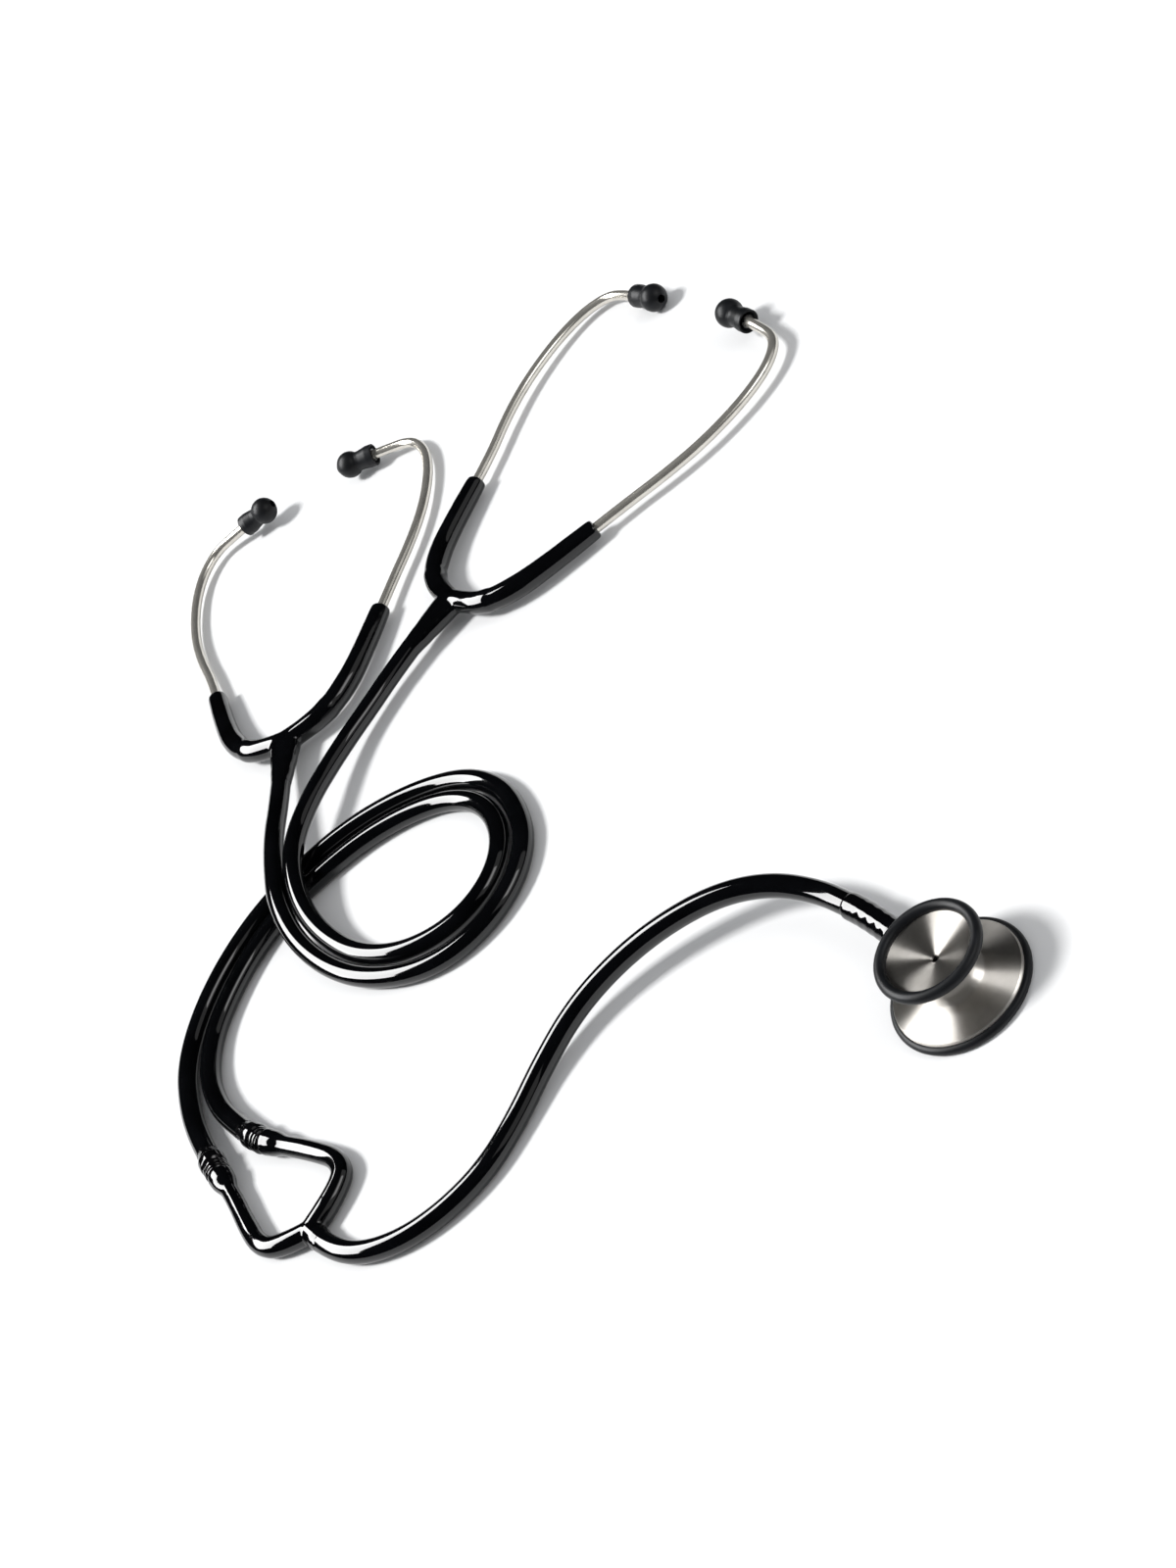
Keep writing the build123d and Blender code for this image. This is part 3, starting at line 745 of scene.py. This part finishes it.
class Side:
    """One side of a headset: places points of the right-hand shape on that side, in metres."""

    def __init__(self, name, side):
        self.frame = headset_frame(name)
        self.sign = 1 if side == "right" else -1
        self.spread = HEADSETS[name][side]["spread"]
        self.twist = HEADSETS[name][side]["twist"]
        self.arm_points = [turned(p, HINGE, -self.spread) for p in ARM_POINTS]
        self.arm_dir = (self.arm_points[-1] - self.arm_points[-2]).normalized()
        self.grip = self.arm_points[-1] - self.arm_dir * EAR_TUBE_GRIP

    def world(self, point):
        return self.frame @ Vector((self.sign * point[0], point[1], point[2])) * MM

    def twisted(self, point):
        turn = Matrix.Rotation(math.radians(self.twist), 3, self.arm_dir)
        return self.grip + turn @ (turned(point, HINGE, -self.spread) - self.grip)

    def tube_points(self):
        first_bend = self.grip + self.arm_dir * EAR_TUBE_STRAIGHT
        bends = [self.twisted(p) for p in EAR_TUBE_POINTS]
        return [self.world(p) for p in [self.grip, first_bend, *bends, self.twisted(EAR_TUBE_END)]]


def tail_end(name):
    return headset_frame(name) @ Vector((0, -TAIL_LENGTH, 0)) * MM


# ---------------------------------------------------------------- hoses

def make_hoses():
    routes = {
        "main_hose": [mm(p) for p in MAIN_ROUTE],
        "hose_a": [tail_end("a"), *[mm(p) for p in HOSE_A_ROUTE], mm(CONNECTORS["right"]["hose_end"])],
        "hose_b": [tail_end("b"), *[mm(p) for p in HOSE_B_ROUTE], mm(CONNECTORS["left"]["hose_end"])],
    }
    for node, points in routes.items():
        hose = hose_curve(f"{node}_skin", points, HOSE_R * MM)
        give(hose, "vinyl")
        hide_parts(node)
        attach(hose, "root")


def make_sleeve():
    """The sleeve over the stem: thick at the chestpiece, rippled where it grips the barbs."""
    line = spline_points([mm(p) for p in MAIN_ROUTE[:4]], 40)
    total = run_lengths(line)
    line = [p for p, s in zip(line, total) if s <= SLEEVE_LENGTH * MM]
    radii = []
    for run in total[: len(line)]:
        s = run / MM
        ripple = RIPPLE_HEIGHT * math.sin(2 * math.pi * s / RIPPLE_PITCH) * along(RIPPLE_FADE, s)
        radii.append((along(SLEEVE_RADII, s) + ripple) * MM)
    sleeve = swept("hose_sleeve_skin", line, radii)
    give(sleeve, "vinyl")
    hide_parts("hose_sleeve")
    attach(sleeve, "root")


# ---------------------------------------------------------------- Y fitting

def make_y_fitting():
    """The moulded fork: swollen ends over the barbs, necks, and fuller corners."""
    pieces = []
    for side, fork in FORKS.items():
        start = CONNECTORS[side]["fork_end"]
        line = spline_points([mm(p) for p in [start, *fork["bends"], JUNCTION]], 16)
        total = run_lengths(line)
        whole = total[-1] / MM
        line = [p for p, s in zip(line, total) if s >= FORK_SKIN_START * MM]
        total = total[-len(line):]
        table = [
            (FORK_SKIN_START, 4.75),
            (3.8, 5.2),
            (6.5, 4.95),
            (14.0, fork["neck_r"]),
            (24.0, fork["neck_r"] + 0.1),
            (40.0, fork["leg_r"]),
            (whole - 22.0, 0.5 * (fork["leg_r"] + 4.3)),
            (whole - 8.0, 4.35),
            (whole, 4.4),
        ]
        radii = [along(table, s / MM) * MM for s in total]
        pieces.append(swept(f"fork_{side}", line, radii))
    end = mm(MAIN_ROUTE[-1])
    middle = mm(JUNCTION)
    steps = [t / 10 for t in range(13)]
    line = [middle.lerp(end, t) for t in steps]
    stem_radii = [along(FORK_STEM_RADII, t) * MM for t in steps]
    pieces.append(swept("fork_stem", line, stem_radii))
    fitting = fused("y_fitting_skin", pieces, FORK_VOXEL, FORK_SMOOTHING)
    give(fitting, "vinyl")
    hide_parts("y_fitting")
    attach(fitting, "root")


def make_connectors():
    """A round bead and two fine rings between each hose and its fork."""
    for side, ends in CONNECTORS.items():
        start = mm(ends["hose_end"])
        end = mm(ends["fork_end"])
        far = (end - start).length / MM + FORK_SKIN_START
        outline = [
            *CONNECTOR_OUTLINE,
            (4.4, far + 0.4, 0.0),
            (2.4, far + 0.4, 0.0),
            (2.4, far + 1.5, 0.2),
            (1.6, far + 1.5, 0.1),
        ]
        place = look_along(start, end - start)
        piece = lathe(f"connector_{side}_skin", rounded_outline(outline), place, closed=True)
        give(piece, "connector")
        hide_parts(f"connector_{side}")
        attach(piece, "root")


# ---------------------------------------------------------------- headsets

def make_yoke(name):
    """One moulded skin over the yoke and both arms, parted in the middle into two halves."""
    frame_matrix = headset_frame(name)
    pieces = []
    tail = [-TAIL_LENGTH - TAIL_PAST_HOSE + k for k in range(TAIL_STEPS)]
    back = [frame_matrix @ Vector((0, y, 0)) * MM for y in tail]
    section = [(along(TAIL_HIGH, y) * MM, along(TAIL_WIDE, y) * MM) for y in tail]
    pieces.append(swept("tail", back, section))
    for side in ("left", "right"):
        place = Side(name, side)
        line = spline_points([place.world(p) for p in [ARM_INNER_POINT, *place.arm_points]], 14)
        total = run_lengths(line)
        whole = total[-1] / MM
        table = [*ARM_INNER_RADII, *[(whole - s, r) for s, r in ARM_END_RADII]]
        radii = [along(table, s / MM) * MM for s in total]
        pieces.append(swept(f"arm_{side}", line, radii))
    skin = fused(f"yoke_{name}", pieces, YOKE_VOXEL, YOKE_SMOOTHING)
    halves = []
    for side in ("left", "right"):
        halves.append(half_of(skin, f"yoke_{name}_{side}_skin", frame_matrix, side))
    bpy.data.objects.remove(skin)
    for side, half in zip(("left", "right"), halves):
        place = Side(name, side)
        give(half, "vinyl")
        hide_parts(f"arm_{name}_{side}", f"yoke_{name}")
        start = place.world(BEND_START)
        end = place.world(BEND_END)
        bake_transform(half)


def half_of(skin, name, frame_matrix, side):
    """The half of a skin on one side of the headset's middle plane, keeping the whole's normals."""
    obj = skin.copy()
    obj.data = skin.data.copy()
    obj.name = name
    bpy.context.scene.collection.objects.link(obj)
    origin = frame_matrix.translation * MM
    across = frame_matrix.to_3x3() @ Vector((1, 0, 0))
    bm = bmesh.new()
    bm.from_mesh(obj.data)
    bmesh.ops.bisect_plane(
        bm,
        geom=bm.verts[:] + bm.edges[:] + bm.faces[:],
        plane_co=origin,
        plane_no=across,
        clear_outer=side == "left",
        clear_inner=side == "right",
    )
    bm.to_mesh(obj.data)
    bm.free()
    whole = skin.data.vertices
    tree = KDTree(len(whole))
    for i, vertex in enumerate(whole):
        tree.insert(vertex.co, i)
    tree.balance()
    normals = []
    for vertex in obj.data.vertices:
        near = tree.find_n(vertex.co, 3)
        mixed = sum((whole[i].normal / (distance + 1e-9) for _, i, distance in near), Vector())
        normals.append(mixed.normalized())
    obj.data.normals_split_custom_set_from_vertices(normals)
    return obj


def make_ear_tube(name, side):
    place = Side(name, side)
    points = place.tube_points()
    tube = hose_curve(f"ear_tube_{name}_{side}_skin", points, EAR_TUBE_R * MM)
    tube.data.bevel_resolution = 8
    give(tube, "tube")
    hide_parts(f"ear_tube_{name}_{side}")
    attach(tube, f"tube_body_{name}_{side}")


def make_ear_tip(name, side):
    """A soft tip: flared open skirt, waist and ball, with a dimpled sound hole."""
    place = Side(name, side)
    points = place.tube_points()
    direction = (points[-1] - points[-2]).normalized()
    start = points[-1] - direction * TIP_SKIRT_DEPTH * MM
    first, last = TIP_BALL_ARC
    ball = []
    for k in range(19):
        a = math.radians(first + k * (last - first) / 18)
        r = TIP_BALL_R * math.cos(a)
        ball.append((r * MM, (TIP_BALL_PLACE + TIP_BALL_R * math.sin(a)) * MM))
    bore = [(r * MM, y * MM) for r, y in TIP_BORE_OUTLINE]
    outline = rounded_outline(TIP_SKIRT_OUTLINE)[4:] + ball + bore
    tip = lathe(f"ear_tip_{name}_{side}_skin", outline, look_along(start, direction), turns=64)
    give(tip, "rubber")
    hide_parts(f"ear_tip_{name}_{side}")
    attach(tip, f"tube_body_{name}_{side}")


# ---------------------------------------------------------------- chestpiece

def make_rim(node, radius, height, section_r):
    """A round-sectioned rubber ring about the chestpiece's axis."""
    ring = []
    for k in range(24):
        a = 2 * math.pi * k / 24
        ring.append((radius + section_r * math.cos(a), height + section_r * math.sin(a), 0.0))
    rim = lathe(f"{node}_skin", rounded_outline(ring, 6), Matrix.Identity(4), turns=160, closed=True)
    give(rim, "rubber")
    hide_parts(node)
    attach(rim, "chest_head")


def make_chestpiece():
    body = lathe("chest_body_skin", rounded_outline(CHEST_BODY_OUTLINE, 6), Matrix.Identity(4), turns=192)
    give(body, "turned")
    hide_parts("chest_body")
    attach(body, "chest_head")
    make_rim("bell_rim", BELL_RIM_R, BELL_RIM_Z, BELL_RIM_SECTION_R)
    make_rim("diaphragm_rim", DIAPHRAGM_RIM_R, DIAPHRAGM_RIM_SECTION_R, DIAPHRAGM_RIM_SECTION_R)


def link_steel_lights():
    """Two lights fall on the turned steel alone, and two others are kept off it."""
    body = bpy.data.objects["chest_body_skin"]
    only = bpy.data.collections.new("lit_steel")
    only.objects.link(body)
    for name in ONLY_ON_STEEL:
        bpy.data.objects[name].light_linking.receiver_collection = only
    rest = bpy.data.collections.new("not_steel")
    rest.objects.link(body)
    rest.collection_objects[0].light_linking.link_state = "EXCLUDE"
    for name in NEVER_ON_STEEL:
        bpy.data.objects[name].light_linking.receiver_collection = rest


def dress_cad_nodes():
    """The nodes whose own shape is right, with their materials."""
    looks = {
        "diaphragm": "resin",
        "stem": "tube",
        "stem_collar": "tube",
        "stem_clip": "spring",
        "stem_oring": "rubber",
        "detent_ball": "spring",
        "detent_spring": "spring",
        "detent_screw": "spring",
        "leaf_spring_a": "spring",
        "leaf_spring_b": "spring",
    }
    for name in HEADSETS:
        for side in ("left", "right"):
            looks[f"tip_insert_{name}_{side}"] = "connector"
    for node, key in looks.items():
        give(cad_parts[node], key)


set_camera()
set_light()
set_floor()
make_materials()
make_hoses()
make_sleeve()
make_y_fitting()
make_connectors()
for headset in HEADSETS:
    make_yoke(headset)
    for headset_side in ("left", "right"):
        make_ear_tube(headset, headset_side)
        make_ear_tip(headset, headset_side)
make_chestpiece()
link_steel_lights()
dress_cad_nodes()
